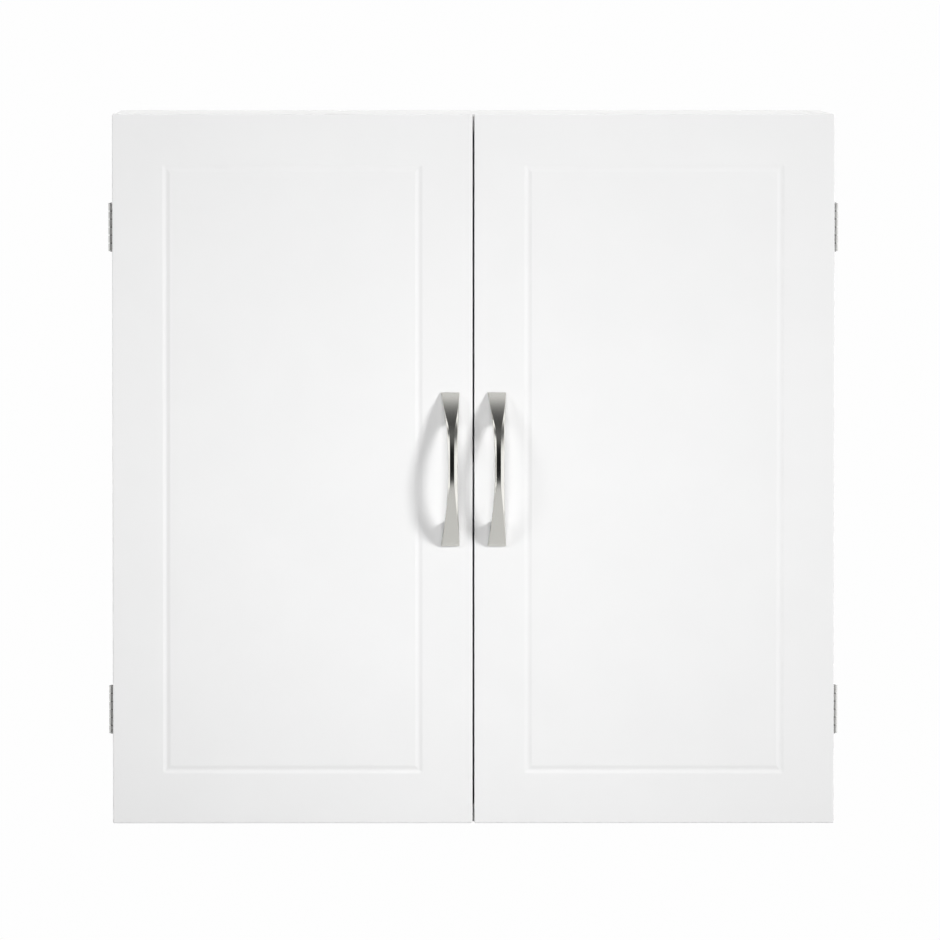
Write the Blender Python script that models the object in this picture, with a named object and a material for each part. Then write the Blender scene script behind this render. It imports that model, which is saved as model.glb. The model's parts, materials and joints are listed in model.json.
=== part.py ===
"""A hanging wall cabinet with two doors, in metres, +Z up.

X runs along the width, the doors face -Y, and the back of the cabinet is the plane y = 0, which lies
against the wall. The origin is the middle of the hanging rail's rear face. Each door and what is fixed
to it hangs from an empty on its hinge axis.
"""

import math

import bmesh
import bpy
from mathutils import Matrix, Vector

# Overall sizes
CABINET_WIDTH = 0.600
CABINET_HEIGHT = 0.590
CABINET_DEPTH = 0.300  # from the wall to the front of the doors

# Boards
BOARD = 0.015
DOOR_THICKNESS = 0.015
BACK_THICKNESS = 0.003
BACK_GROOVE = 0.005  # how deep the back panel sits in the boards round it
RAIL_THICKNESS = 0.015
RAIL_HEIGHT = 0.070
SHELF_LEVEL = 0.2845  # the shelf's underside above the foot of the cabinet
SHELF_SETBACK = 0.020

# Clearances
FIT = 0.0003  # between two faces that are fixed together
DOOR_GAP = 0.0015  # between the two doors
SHELF_PLAY = 0.0007  # round the shelf, which lifts out
HOLE_PLAY = 0.0002  # round a screw or a pin in its hole
KNUCKLE_PLAY = 0.00015  # at each end of a hinge knuckle
BREAKTHROUGH = 0.002  # how far a cutter runs past the face that it opens

# Wall screw holes in the rail and the back panel
WALL_HOLE_RADIUS = 0.003
WALL_HOLE_INSET = 0.060  # from the inner face of the side

# Butt hinges
HINGE_HEIGHT = 0.040
HINGE_INSET = 0.094  # from the door's top or bottom edge to the hinge's middle
KNUCKLES = 6
LEAF_THICKNESS = 0.001
LEAF_REACH = 0.0138  # from the pin's axis to the leaf's far edge
HINGE_PIN_RADIUS = 0.001
HINGE_PIN_DOME = 0.0004
PIN_PLAY = 0.0003
PIN_OUTSET = 0.0013  # the pin's axis beyond the cabinet's side
CURL = math.radians(295)

# Countersunk wood screws in the hinge leaves
LEAF_SCREW_SPREAD = 0.012  # above and below the hinge's middle
LEAF_SCREW_RADIUS = 0.0012
LEAF_SCREW_HEAD = 0.0022
LEAF_SCREW_LENGTH = 0.011
LEAF_SCREW_TIP = 0.002

# Routed rectangle in the door's face
ROUT_INSET = 0.041
ROUT_WIDTH = 0.0075
ROUT_FLOOR = 0.0020
ROUT_DEPTH = 0.0006
ROUT_CORNER = 0.003  # radius of the outer corners; the inner ones are sharp
SHARP_CORNER = 0.0002

# Bow handles
HANDLE_INSET = 0.0186  # from the door's inner edge to the middle of the feet
HANDLE_LENGTH = 0.128
HANDLE_REACH = 0.028
HANDLE_END_REACH = 0.0015
HANDLE_GRIP = 0.0030  # thickness of the bow between its feet
HANDLE_LEG = 0.021  # length of a foot along the handle
HANDLE_SCREW_SPACING = 0.096
HANDLE_END_SIDES = (-0.0079, 0.0079)
HANDLE_WAIST_SIDES = (-0.0018, 0.0062)
HANDLE_END_FACE = (-0.0064, 0.0074)
HANDLE_WAIST_FACE = (-0.0003, 0.0032)
HANDLE_RIDGE = 0.0016  # how far the narrow front face stands off the sides at mid length
HANDLE_END_RIDGE = 0.0007
HANDLE_STATIONS = 8  # on each half of the bow
HANDLE_SCREW_RADIUS = 0.0020
HANDLE_SCREW_HEAD = 0.0038
HANDLE_SCREW_HEAD_HEIGHT = 0.0022
HANDLE_SCREW_BITE = 0.0075  # how far the screw goes into the foot

# Shelf pins and their holes
PEG_RADIUS = 0.0024
PEG_DEPTH = 0.009
PEG_COLLAR_RADIUS = 0.004
PEG_COLLAR = 0.001
PEG_HEAD_RADIUS = 0.003
PEG_HEAD = 0.008
PEG_INSET = 0.045  # from the shelf's front and rear edges
PEG_PITCH = 0.032
SPARE_ROWS = (-1, 0, 1)

# Magnetic catches under the top board, and their striker plates
CATCH_OFFSET = 0.060  # from the middle of the cabinet to the catch's middle
CATCH_WIDTH = 0.030
CATCH_HEIGHT = 0.0125
CATCH_DEPTH = 0.016
CATCH_EAR = 0.008
CATCH_EAR_HEIGHT = 0.003
CATCH_HOLE_RADIUS = 0.0018
STRIKER_WIDTH = 0.036
STRIKER_HEIGHT = 0.012
STRIKER_THICKNESS = 0.001

# Confirmat screws through the sides into the ends of the top and bottom boards
CONFIRMAT_LENGTH = 0.048
CONFIRMAT_HEAD = 0.0048
CONFIRMAT_HEAD_HEIGHT = 0.003
CONFIRMAT_COLLAR_RADIUS = 0.0034
CONFIRMAT_RADIUS = 0.0030
CONFIRMAT_TIP = 0.003
CONFIRMAT_SINK = 0.0006
CONFIRMAT_FRONT = 0.050  # from the carcass's front edge
CONFIRMAT_REAR = 0.070  # from the wall

ROUND = 12  # sides of a small round piece
ROUND_GAP = 14  # sides of a knuckle gap, whose corners then miss the leaf's faces

# Places that follow from the sizes
BARREL_RADIUS = HINGE_PIN_RADIUS + PIN_PLAY + LEAF_THICKNESS
HINGE_GAP = 2 * (BARREL_RADIUS - LEAF_THICKNESS)
LEAF_SCREW_SINK = LEAF_THICKNESS  # height of the head's cone
HALF_WIDTH = CABINET_WIDTH / 2
INNER_HALF = HALF_WIDTH - BOARD
TOP = RAIL_HEIGHT / 2 + FIT + BOARD
FOOT = TOP - CABINET_HEIGHT
DOOR_FACE = -CABINET_DEPTH
DOOR_BACK = DOOR_FACE + DOOR_THICKNESS
CARCASS_FRONT = DOOR_BACK + HINGE_GAP
HINGE_Y = DOOR_BACK + HINGE_GAP / 2
BACK_REAR = -RAIL_THICKNESS - FIT
BACK_FRONT = BACK_REAR - BACK_THICKNESS
DOOR_MIDDLE = TOP - CABINET_HEIGHT / 2
SHELF_UNDERSIDE = FOOT + SHELF_LEVEL
SHELF_FRONT = CARCASS_FRONT + SHELF_SETBACK
SHELF_REAR = BACK_FRONT - SHELF_PLAY
PEG_Z = SHELF_UNDERSIDE - FIT - PEG_HEAD_RADIUS
HINGE_LEVELS = {"upper": TOP - HINGE_INSET, "lower": FOOT + HINGE_INSET}
HANDS = {"left": -1, "right": 1}
MATERIALS = {}


def material(name, colour, roughness, metallic=0.0):
    """A Principled BSDF with one plain finish, made once and then reused."""
    if name not in MATERIALS:
        made = bpy.data.materials.new(name)
        made.use_nodes = True
        shader = made.node_tree.nodes["Principled BSDF"]
        shader.inputs["Base Color"].default_value = (*colour, 1.0)
        shader.inputs["Roughness"].default_value = roughness
        shader.inputs["Metallic"].default_value = metallic
        MATERIALS[name] = made
    return MATERIALS[name]


def white_board():
    return material("white_board", (0.86, 0.86, 0.86), 0.45)


def door_foil():
    return material("door_foil", (0.88, 0.88, 0.88), 0.40)


def hardboard():
    return material("hardboard", (0.80, 0.80, 0.79), 0.60)


def satin_nickel():
    return material("satin_nickel", (0.66, 0.65, 0.63), 0.28, 1.0)


def plated_steel():
    return material("plated_steel", (0.60, 0.60, 0.60), 0.35, 1.0)


def zinc_steel():
    return material("zinc_steel", (0.55, 0.56, 0.58), 0.40, 1.0)


def white_plastic():
    return material("white_plastic", (0.80, 0.80, 0.78), 0.50)


def place(obj, origin, hanger=None):
    """Links obj with its origin at a point of the cabinet, under a door's empty if it has one."""
    bpy.context.scene.collection.objects.link(obj)
    obj.location = Vector(origin)
    if hanger:
        obj.parent = hanger
        obj.location -= hanger.location
    return obj


def mesh_of(name, bm, origin):
    """The mesh of bm, whose points are in the cabinet's frame, about its own origin."""
    bmesh.ops.recalc_face_normals(bm, faces=bm.faces)
    bmesh.ops.translate(bm, verts=bm.verts, vec=-Vector(origin))
    mesh = bpy.data.meshes.new(name)
    bm.to_mesh(mesh)
    bm.free()
    return mesh


def piece(name, bm, finish, origin, hanger=None, smooth=False):
    """One named sub-part with its material, and smooth shading where it is round."""
    mesh = mesh_of(name, bm, origin)
    mesh.materials.append(finish)
    if smooth:
        mesh.shade_smooth()
        mesh.set_sharp_from_angle(angle=math.radians(35))
    return place(bpy.data.objects.new(name, mesh), origin, hanger)


def carve(obj, what, bm, hanger=None):
    """Takes bm away from obj with a live Boolean whose cutter is kept as a hidden wire object."""
    name = f"{obj.name}_{what}_cutter"
    origin = hanger.location if hanger else Vector()
    cutter = place(bpy.data.objects.new(name, mesh_of(name, bm, origin)), origin, hanger)
    cutter.hide_render = True
    cutter.display_type = "WIRE"
    cut = obj.modifiers.new(what, "BOOLEAN")
    cut.operation = "DIFFERENCE"
    cut.solver = "EXACT"
    cut.object = cutter


def add_box(bm, low, high):
    """A box between two corners."""
    low, high = Vector(low), Vector(high)
    size = Matrix.Diagonal((*(high - low), 1.0))
    bmesh.ops.create_cube(bm, size=1.0, matrix=Matrix.Translation((low + high) / 2) @ size)


def along(point, direction):
    """A placing matrix whose +Z runs from point in that direction."""
    turn = Vector(direction).to_track_quat("Z", "Y")
    return Matrix.Translation(Vector(point)) @ turn.to_matrix().to_4x4()


def add_turned(bm, profile, where, sides=ROUND):
    """A solid turned about the +Z of where, from (radius, height) points that start and end on the axis."""
    points = [bm.verts.new(where @ Vector((radius, 0.0, height))) for radius, height in profile]
    edges = [bm.edges.new(pair) for pair in zip(points, points[1:])]
    bmesh.ops.spin(
        bm,
        geom=points + edges,
        cent=where.translation,
        axis=where.to_3x3() @ Vector((0.0, 0.0, 1.0)),
        angle=2 * math.pi,
        steps=sides,
        use_merge=True,
    )
    bmesh.ops.remove_doubles(bm, verts=bm.verts, dist=1e-7)


def add_rod(bm, point, direction, start, end, radius, sides=ROUND):
    """A plain cylinder along direction, between two distances from point."""
    profile = [(0.0, start), (radius, start), (radius, end), (0.0, end)]
    add_turned(bm, profile, along(point, direction), sides)


def add_prism(bm, outline, vector):
    """An outline of points, extruded along vector."""
    face = bm.faces.new([bm.verts.new(point) for point in outline])
    grown = bmesh.ops.extrude_face_region(bm, geom=[face])
    moved = [item for item in grown["geom"] if isinstance(item, bmesh.types.BMVert)]
    bmesh.ops.translate(bm, verts=moved, vec=Vector(vector))


def add_loft(bm, rings):
    """A closed skin over rings of equal length, with its two ends filled."""
    rows = [[bm.verts.new(point) for point in ring] for ring in rings]
    count = len(rows[0])
    for row, after in zip(rows, rows[1:]):
        for i in range(count):
            bm.faces.new((row[i], row[(i + 1) % count], after[(i + 1) % count], after[i]))
    bm.faces.new(rows[0])
    bm.faces.new(rows[-1])


def board(name, low, high, finish, hanger=None):
    bm = bmesh.new()
    add_box(bm, low, high)
    return piece(name, bm, finish, (Vector(low) + Vector(high)) / 2, hanger)


# Carcass


def back_slot():
    """The back panel's own box grown by the fit, which cuts the groove in each board round it."""
    bm = bmesh.new()
    reach = INNER_HALF + BACK_GROOVE + FIT
    add_box(
        bm,
        (-reach, BACK_FRONT - FIT, FOOT + BOARD - BACK_GROOVE - FIT),
        (reach, BACK_REAR + FIT, TOP - BOARD + BACK_GROOVE + FIT),
    )
    return bm


def confirmat_places(hand):
    """(name, point on the side's outer face, inward direction) of the four screws on one side."""
    sign = HANDS[hand]
    levels = {"top": TOP - BOARD / 2, "bottom": FOOT + BOARD / 2}
    depths = {"front": CARCASS_FRONT + CONFIRMAT_FRONT, "rear": -CONFIRMAT_REAR}
    return [
        (f"{hand}_{level}_{depth}_confirmat", (sign * HALF_WIDTH, y, z), (-sign, 0, 0))
        for level, z in levels.items()
        for depth, y in depths.items()
    ]


def confirmat_profile(play=0.0):
    """Head, cone, collar that fills the side, threaded shank and tip."""
    collar_end = BOARD + FIT / 2
    head_end = CONFIRMAT_SINK + CONFIRMAT_HEAD_HEIGHT
    top = -BREAKTHROUGH if play else CONFIRMAT_SINK
    return [
        (0.0, top),
        (CONFIRMAT_HEAD + play, top),
        (CONFIRMAT_HEAD + play, CONFIRMAT_SINK + CONFIRMAT_HEAD_HEIGHT / 3),
        (CONFIRMAT_COLLAR_RADIUS + play, head_end + play),
        (CONFIRMAT_COLLAR_RADIUS + play, collar_end + play),
        (CONFIRMAT_RADIUS + play, collar_end + play + 0.0005),
        (CONFIRMAT_RADIUS + play, CONFIRMAT_LENGTH - CONFIRMAT_TIP),
        (0.0, CONFIRMAT_LENGTH + play),
    ]


def confirmat_holes(hands):
    bm = bmesh.new()
    for hand in hands:
        for _, point, direction in confirmat_places(hand):
            add_turned(bm, confirmat_profile(HOLE_PLAY), along(point, direction))
    return bm


def confirmats():
    for hand in HANDS:
        for name, point, direction in confirmat_places(hand):
            bm = bmesh.new()
            add_turned(bm, confirmat_profile(), along(point, direction))
            piece(name, bm, zinc_steel(), point, smooth=True)


def peg_places(rows=(0,)):
    """(name, point on the side's inner face, direction into it) of the shelf pins, or of their holes."""
    depths = {"front": SHELF_FRONT + PEG_INSET, "rear": SHELF_REAR - PEG_INSET}
    return [
        (f"{hand}_{depth}_shelf_pin", (sign * INNER_HALF, y, PEG_Z + row * PEG_PITCH), (sign, 0, 0))
        for hand, sign in HANDS.items()
        for depth, y in depths.items()
        for row in rows
    ]


def shelf_pins():
    """Steel pins: a peg in the side, a collar against it and a head that the shelf lies on."""
    collar = PEG_COLLAR + FIT
    for name, point, direction in peg_places():
        bm = bmesh.new()
        profile = [
            (0.0, PEG_DEPTH),
            (PEG_RADIUS * 0.7, PEG_DEPTH),
            (PEG_RADIUS, PEG_DEPTH - PEG_RADIUS * 0.3),
            (PEG_RADIUS, -FIT),
            (PEG_COLLAR_RADIUS, -FIT),
            (PEG_COLLAR_RADIUS, -collar),
            (PEG_HEAD_RADIUS, -collar),
            (PEG_HEAD_RADIUS, -collar - PEG_HEAD),
            (0.0, -collar - PEG_HEAD),
        ]
        add_turned(bm, profile, along(point, direction))
        piece(name, bm, plated_steel(), point, smooth=True)


def peg_holes():
    bm = bmesh.new()
    for _, point, direction in peg_places(SPARE_ROWS):
        add_rod(bm, point, direction, -BREAKTHROUGH, PEG_DEPTH + HOLE_PLAY, PEG_RADIUS + HOLE_PLAY)
    return bm


def sides():
    for hand, sign in HANDS.items():
        edges = sorted((sign * HALF_WIDTH, sign * INNER_HALF))
        low, high = (edges[0], CARCASS_FRONT, FOOT), (edges[1], 0.0, TOP)
        side = board(f"{hand}_side", low, high, white_board())
        carve(side, "back_groove", back_slot())
        carve(side, "confirmat_holes", confirmat_holes([hand]))
        carve(side, "peg_holes", peg_holes())
        carve(side, "leaf_recesses", leaf_recesses(hand, 1))
        carve(side, "leaf_screw_holes", leaf_screw_holes(hand, 1))


def top_and_bottom():
    reach = INNER_HALF - FIT
    for name, low in (("top_panel", TOP - BOARD), ("bottom_panel", FOOT)):
        panel = board(name, (-reach, CARCASS_FRONT, low), (reach, 0.0, low + BOARD), white_board())
        carve(panel, "back_groove", back_slot())
        carve(panel, "confirmat_holes", confirmat_holes(HANDS))


def wall_holes():
    bm = bmesh.new()
    for sign in HANDS.values():
        point = (sign * (INNER_HALF - WALL_HOLE_INSET), 0.0, 0.0)
        add_rod(bm, point, (0, -1, 0), -BREAKTHROUGH, BREAKTHROUGH - BACK_FRONT, WALL_HOLE_RADIUS)
    return bm


def back_and_rail():
    reach = INNER_HALF + BACK_GROOVE
    low = (-reach, BACK_FRONT, FOOT + BOARD - BACK_GROOVE)
    high = (reach, BACK_REAR, TOP - BOARD + BACK_GROOVE)
    carve(board("back_panel", low, high, hardboard()), "wall_holes", wall_holes())
    half, reach = RAIL_HEIGHT / 2, INNER_HALF - FIT
    low, high = (-reach, -RAIL_THICKNESS, -half), (reach, 0.0, half)
    carve(board("hanging_rail", low, high, white_board()), "wall_holes", wall_holes())


def shelf():
    reach = INNER_HALF - FIT - PEG_COLLAR - SHELF_PLAY
    low, high = (-reach, SHELF_FRONT, SHELF_UNDERSIDE), (reach, SHELF_REAR, SHELF_UNDERSIDE + BOARD)
    board("shelf", low, high, white_board())


# Hinges


def hinge_axis(hand):
    return HANDS[hand] * (HALF_WIDTH + PIN_OUTSET)


def knuckle_levels(first):
    """(low, high) above the hinge's foot of every second knuckle, counted from first."""
    height = HINGE_HEIGHT / KNUCKLES
    return [(i * height, (i + 1) * height) for i in range(first, KNUCKLES, 2)]


def leaf_outline(hand, facing):
    """A plate that rolls round the pin. facing is 1 for the side's leaf and -1 for the door's."""
    inward = -HANDS[hand]
    inner = BARREL_RADIUS - LEAF_THICKNESS
    steps = ROUND - 2
    turns = [math.pi / 2 + CURL * i / steps for i in range(steps + 1)]
    loop = [(LEAF_REACH, inner), (LEAF_REACH, BARREL_RADIUS)]
    loop += [(BARREL_RADIUS * math.cos(turn), BARREL_RADIUS * math.sin(turn)) for turn in turns]
    loop += [(inner * math.cos(turn), inner * math.sin(turn)) for turn in reversed(turns)]
    return [(hinge_axis(hand) + inward * x, HINGE_Y + facing * y) for x, y in loop]


def leaf_screw_places(hand, facing, level):
    """Points on the leaf's open face, at the middle of the board's edge."""
    x = HANDS[hand] * (HALF_WIDTH - BOARD / 2)
    y = HINGE_Y + facing * HINGE_GAP / 2
    heights = {"upper": level + LEAF_SCREW_SPREAD, "lower": level - LEAF_SCREW_SPREAD}
    return {name: (x, y, z) for name, z in heights.items()}


def leaf_screw_profile(play=0.0):
    """A flat head, its cone, the shank and the tip; with play it is the hole that the screw fits."""
    top = -play
    return [
        (0.0, top),
        (LEAF_SCREW_HEAD + 2 * play, top),
        (LEAF_SCREW_RADIUS + play, LEAF_SCREW_SINK + play),
        (LEAF_SCREW_RADIUS + play, LEAF_SCREW_LENGTH - LEAF_SCREW_TIP),
        (0.0, LEAF_SCREW_LENGTH + play),
    ]


def leaf_screw_holes(hand, facing):
    bm = bmesh.new()
    for level in HINGE_LEVELS.values():
        for point in leaf_screw_places(hand, facing, level).values():
            add_turned(bm, leaf_screw_profile(HOLE_PLAY), along(point, (0, facing, 0)))
    return bm


def leaf_recesses(hand, facing):
    """Shallow pockets in a board's edge that the leaves lie in, flush with it."""
    outer = hinge_axis(hand) + HANDS[hand] * BARREL_RADIUS
    inner = hinge_axis(hand) - HANDS[hand] * (LEAF_REACH + FIT)
    floor = HINGE_Y + facing * (BARREL_RADIUS + FIT)
    half = HINGE_HEIGHT / 2 + FIT
    bm = bmesh.new()
    for level in HINGE_LEVELS.values():
        low = (min(outer, inner), min(HINGE_Y, floor), level - half)
        high = (max(outer, inner), max(HINGE_Y, floor), level + half)
        add_box(bm, low, high)
    return bm


def leaf(name, hand, facing, level, hanger=None):
    foot = level - HINGE_HEIGHT / 2
    bm = bmesh.new()
    outline = [(x, y, foot) for x, y in leaf_outline(hand, facing)]
    add_prism(bm, outline, (0, 0, HINGE_HEIGHT))
    axis = (hinge_axis(hand), HINGE_Y, foot)
    plate = piece(name, bm, plated_steel(), axis, hanger, smooth=True)
    bm = bmesh.new()
    for low, high in knuckle_levels(1 if facing == 1 else 0):
        start = -BREAKTHROUGH if low == 0 else low - KNUCKLE_PLAY
        end = high + (BREAKTHROUGH if high > HINGE_HEIGHT - KNUCKLE_PLAY else KNUCKLE_PLAY)
        add_rod(bm, axis, (0, 0, 1), start, end, BARREL_RADIUS + FIT, ROUND_GAP)
    carve(plate, "knuckle_gaps", bm, hanger)
    bm = bmesh.new()
    for point in leaf_screw_places(hand, facing, level).values():
        add_turned(bm, leaf_screw_profile(HOLE_PLAY), along(point, (0, facing, 0)))
    carve(plate, "screw_holes", bm, hanger)


def leaf_screws(name, hand, facing, level, hanger=None):
    for which, point in leaf_screw_places(hand, facing, level).items():
        bm = bmesh.new()
        add_turned(bm, leaf_screw_profile(), along(point, (0, facing, 0)))
        piece(f"{name}_{which}_screw", bm, zinc_steel(), point, hanger, smooth=True)


def hinges(hangers):
    for hand in HANDS:
        for level_name, level in HINGE_LEVELS.items():
            name = f"{hand}_{level_name}_hinge"
            for part, facing, hanger in (("frame_leaf", 1, None), ("door_leaf", -1, hangers[hand])):
                leaf(f"{name}_{part}", hand, facing, level, hanger)
                leaf_screws(f"{name}_{part}", hand, facing, level, hanger)
            bm = bmesh.new()
            foot, top = -HINGE_HEIGHT / 2, HINGE_HEIGHT / 2
            profile = [
                (0.0, foot - HINGE_PIN_DOME),
                (HINGE_PIN_RADIUS * 0.7, foot - HINGE_PIN_DOME),
                (HINGE_PIN_RADIUS, foot),
                (HINGE_PIN_RADIUS, top),
                (HINGE_PIN_RADIUS * 0.7, top + HINGE_PIN_DOME),
                (0.0, top + HINGE_PIN_DOME),
            ]
            centre = (hinge_axis(hand), HINGE_Y, level)
            add_turned(bm, profile, along(centre, (0, 0, 1)))
            piece(f"{name}_pin", bm, plated_steel(), centre, smooth=True)


# Doors


def rounded_rectangle(half_width, half_height, radius, steps=4):
    """Points round a rectangle about the origin, with a quarter circle at each corner."""
    points = []
    for quarter in range(4):
        sx, sy = ((1, 1), (-1, 1), (-1, -1), (1, -1))[quarter]
        for i in range(steps + 1):
            turn = math.pi / 2 * (quarter + i / steps)
            x = sx * (half_width - radius) + radius * math.cos(turn)
            points.append((x, sy * (half_height - radius) + radius * math.sin(turn)))
    return points


def rout(x, half_width):
    """The ring that the router takes out of a door's face: sloping walls and a narrow floor."""
    wall = (ROUT_WIDTH - ROUT_FLOOR) / 2
    above = ROUT_DEPTH
    section = [
        (-wall, -above),
        (wall, ROUT_DEPTH),
        (wall + ROUT_FLOOR, ROUT_DEPTH),
        (ROUT_WIDTH + wall, -above),
    ]
    outer_width, outer_height = half_width - ROUT_INSET, CABINET_HEIGHT / 2 - ROUT_INSET
    bm = bmesh.new()
    rows = []
    for inset, depth in section:
        radius = max(ROUT_CORNER - inset, SHARP_CORNER)
        outline = rounded_rectangle(outer_width - inset, outer_height - inset, radius)
        points = [(x + px, DOOR_FACE + depth, DOOR_MIDDLE + pz) for px, pz in outline]
        rows.append([bm.verts.new(point) for point in points])
    count = len(rows[0])
    for row, after in zip(rows, rows[1:] + rows[:1]):
        for i in range(count):
            bm.faces.new((row[i], row[(i + 1) % count], after[(i + 1) % count], after[i]))
    return bm


def handle_x(hand):
    return HANDS[hand] * (DOOR_GAP / 2 + HANDLE_INSET)


def handle_screw_places(hand):
    """Points on the door's back behind each foot."""
    spread = HANDLE_SCREW_SPACING / 2
    heights = {"upper": DOOR_MIDDLE + spread, "lower": DOOR_MIDDLE - spread}
    return {name: (handle_x(hand), DOOR_BACK, z) for name, z in heights.items()}


def handle_screw_profile(play=0.0):
    """A pan head behind the door and a shank through it into the foot."""
    end = DOOR_THICKNESS + FIT + HANDLE_SCREW_BITE
    if play:
        return [
            (0.0, -BREAKTHROUGH),
            (HANDLE_SCREW_RADIUS + play, -BREAKTHROUGH),
            (HANDLE_SCREW_RADIUS + play, end + play),
            (0.0, end + play),
        ]
    top = -FIT - HANDLE_SCREW_HEAD_HEIGHT
    return [
        (0.0, top),
        (HANDLE_SCREW_HEAD * 0.7, top),
        (HANDLE_SCREW_HEAD, top + HANDLE_SCREW_HEAD_HEIGHT / 2),
        (HANDLE_SCREW_HEAD, -FIT),
        (HANDLE_SCREW_RADIUS, -FIT),
        (HANDLE_SCREW_RADIUS, end),
        (0.0, end),
    ]


def handle_screw_holes(hand):
    bm = bmesh.new()
    for point in handle_screw_places(hand).values():
        add_turned(bm, handle_screw_profile(HOLE_PLAY), along(point, (0, -1, 0)))
    return bm


def doors(hangers):
    for hand, sign in HANDS.items():
        edges = sorted((sign * HALF_WIDTH, sign * DOOR_GAP / 2))
        low, high = (edges[0], DOOR_FACE, FOOT), (edges[1], DOOR_BACK, TOP)
        hanger = hangers[hand]
        door = board(f"{hand}_door", low, high, door_foil(), hanger)
        carve(door, "rout", rout(sum(edges) / 2, (edges[1] - edges[0]) / 2), hanger)
        carve(door, "handle_holes", handle_screw_holes(hand), hanger)
        carve(door, "leaf_recesses", leaf_recesses(hand, -1), hanger)
        carve(door, "leaf_screw_holes", leaf_screw_holes(hand, -1), hanger)


def arc_height(z, half_chord, end, middle):
    """Height of a circular bow over its chord at distance z from the middle."""
    rise = middle - end
    radius = (half_chord * half_chord + rise * rise) / (2 * rise)
    return middle - radius + math.sqrt(radius * radius - z * z)


def mix(a, b, share):
    return a + (b - a) * share


def handle_ring(x, z, foot):
    """The six corners of the bow's section at height z, whose back lies at foot off the door's face."""
    half = HANDLE_LENGTH / 2
    flare = (z / half) ** 2
    top = arc_height(z, half, HANDLE_END_REACH, HANDLE_REACH)
    sides = [mix(waist, end, flare) for waist, end in zip(HANDLE_WAIST_SIDES, HANDLE_END_SIDES)]
    face = [mix(waist, end, flare) for waist, end in zip(HANDLE_WAIST_FACE, HANDLE_END_FACE)]
    shoulder = top - mix(HANDLE_RIDGE, HANDLE_END_RIDGE, flare)
    corners = [
        (sides[0], foot),
        (sides[0], shoulder),
        (face[0], top),
        (face[1], top),
        (sides[1], shoulder),
        (sides[1], foot),
    ]
    return [(x + cx, DOOR_FACE - FIT - height, DOOR_MIDDLE + z) for cx, height in corners]


def handles(hangers):
    """Bows that widen towards their feet, with a bevel on each side of a narrow front face."""
    half = HANDLE_LENGTH / 2
    inner_half = half - HANDLE_LEG
    count = 2 * HANDLE_STATIONS
    for hand in HANDS:
        x = handle_x(hand)
        levels = [half * (2 * i / count - 1) for i in range(count + 1)]
        bm = bmesh.new()
        add_loft(bm, [handle_ring(x, z, 0.0) for z in levels])
        origin = (x, DOOR_FACE, DOOR_MIDDLE)
        bow = piece(f"{hand}_handle", bm, satin_nickel(), origin, hangers[hand], smooth=True)
        bm = bmesh.new()
        hollow = [inner_half * (2 * i / count - 1) for i in range(count + 1)]
        arc = [(z, arc_height(z, half, HANDLE_END_REACH, HANDLE_REACH) - HANDLE_GRIP) for z in hollow]
        outline = [(inner_half, -BREAKTHROUGH), (-inner_half, -BREAKTHROUGH)] + arc
        left = x - HANDLE_LENGTH / 2
        points = [(left, DOOR_FACE - FIT - height, DOOR_MIDDLE + z) for z, height in outline]
        add_prism(bm, points, (HANDLE_LENGTH, 0, 0))
        carve(bow, "finger_gap", bm, hangers[hand])
        carve(bow, "screw_holes", handle_screw_holes(hand), hangers[hand])
        for which, point in handle_screw_places(hand).items():
            bm = bmesh.new()
            add_turned(bm, handle_screw_profile(), along(point, (0, -1, 0)))
            piece(f"{hand}_handle_{which}_screw", bm, zinc_steel(), point, hangers[hand], smooth=True)


# Magnetic catches


def catches(hangers):
    """A housing with two ears under the top board, and a striker plate on the door in front of it."""
    ceiling = TOP - BOARD - FIT
    front = DOOR_BACK + FIT + STRIKER_THICKNESS + FIT
    for hand, sign in HANDS.items():
        x = sign * CATCH_OFFSET
        body, ear = CATCH_WIDTH / 2, CATCH_WIDTH / 2 + CATCH_EAR
        outline = [(-ear, 0.0), (-ear, CATCH_EAR_HEIGHT), (-body, CATCH_EAR_HEIGHT), (-body, CATCH_HEIGHT)]
        outline += [(-across, down) for across, down in reversed(outline)]
        bm = bmesh.new()
        add_prism(bm, [(x + px, front, ceiling - down) for px, down in outline], (0, CATCH_DEPTH, 0))
        housing = piece(f"{hand}_magnet_catch", bm, white_plastic(), (x, front, ceiling))
        bm = bmesh.new()
        for way in (-1, 1):
            point = (x + way * (body + CATCH_EAR / 2), front + CATCH_DEPTH / 2, ceiling)
            end = CATCH_EAR_HEIGHT + BREAKTHROUGH
            add_rod(bm, point, (0, 0, -1), -BREAKTHROUGH, end, CATCH_HOLE_RADIUS)
        carve(housing, "screw_holes", bm)
        half, middle = STRIKER_WIDTH / 2, ceiling - CATCH_HEIGHT / 2
        low = (x - half, DOOR_BACK + FIT, middle - STRIKER_HEIGHT / 2)
        high = (x + half, DOOR_BACK + FIT + STRIKER_THICKNESS, middle + STRIKER_HEIGHT / 2)
        board(f"{hand}_striker_plate", low, high, plated_steel(), hangers[hand])


def main():
    for obj in list(bpy.data.objects):
        bpy.data.objects.remove(obj)
    hangers = {}
    for hand in HANDS:
        empty = bpy.data.objects.new(f"{hand}_door_axis", None)
        empty.empty_display_size = HINGE_HEIGHT
        hangers[hand] = place(empty, (hinge_axis(hand), HINGE_Y, DOOR_MIDDLE))
    sides()
    top_and_bottom()
    back_and_rail()
    shelf()
    shelf_pins()
    confirmats()
    doors(hangers)
    hinges(hangers)
    handles(hangers)
    catches(hangers)


main()
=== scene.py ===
"""A white wall cabinet with two foil-wrapped doors, bow handles, butt hinges and magnetic catches.

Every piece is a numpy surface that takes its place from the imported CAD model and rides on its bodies.
"""

import json
import math

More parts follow.
